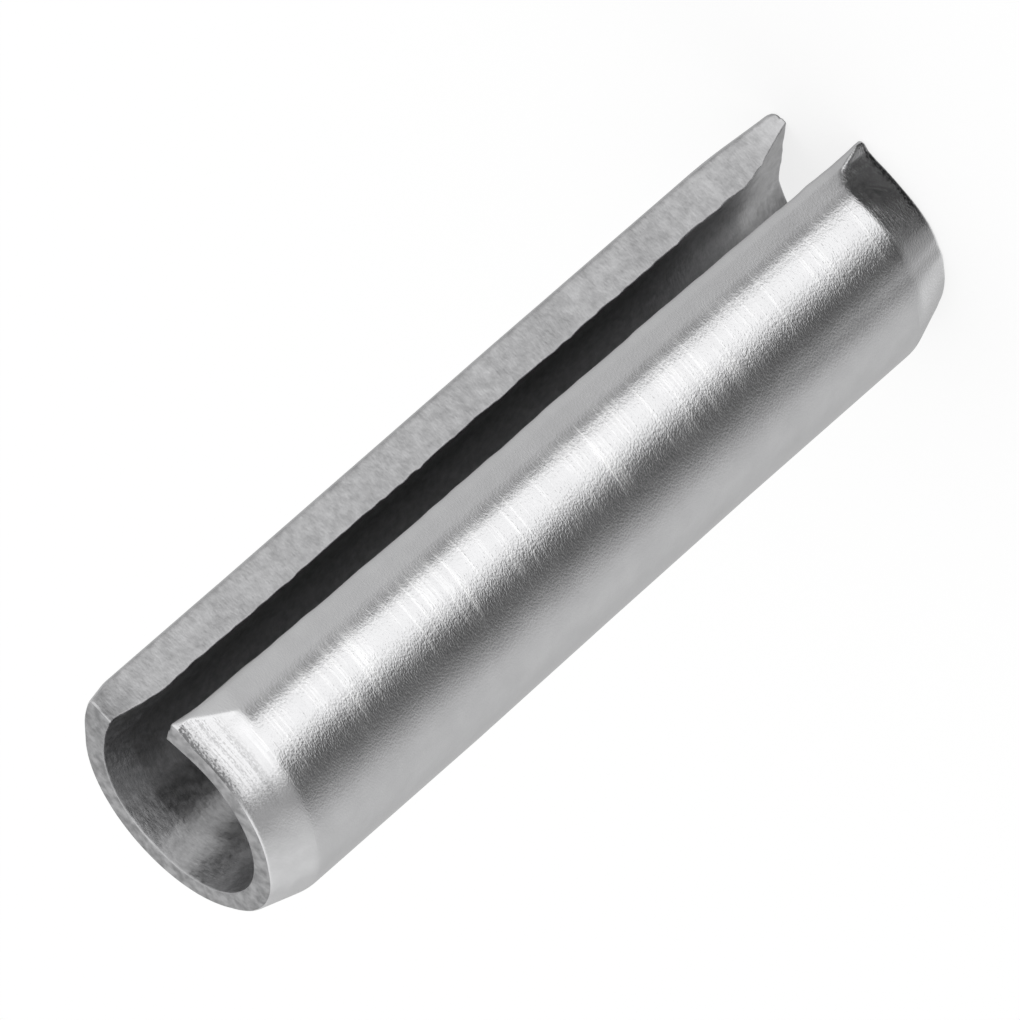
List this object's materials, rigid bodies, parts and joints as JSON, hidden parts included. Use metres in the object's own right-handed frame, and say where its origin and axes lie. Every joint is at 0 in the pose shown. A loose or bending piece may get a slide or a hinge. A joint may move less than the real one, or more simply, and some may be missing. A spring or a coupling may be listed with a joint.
{
  "type": "spring pin",
  "caption": "Slotted tubular spring pin: spring steel strip rolled into a tube with an open slot along it and chamfered ends, driven into a drilled hole to lock or hinge two parts.",
  "frame": {"origin": "on the pin's axis, half way along it", "axes": "+Z along the pin's axis, +Y away from the slot, so the slot faces -Y and the pin mirrors across the YZ plane"},
  "size_m": [0.0084, 0.0079, 0.03],
  "materials": {
    "spring_steel": "bright rolled spring steel with fine lines round the pin and matt sheared edges"
  },
  "bodies": {
    "root": {"spring_pin": "spring_steel"}
  },
  "joints": []
}
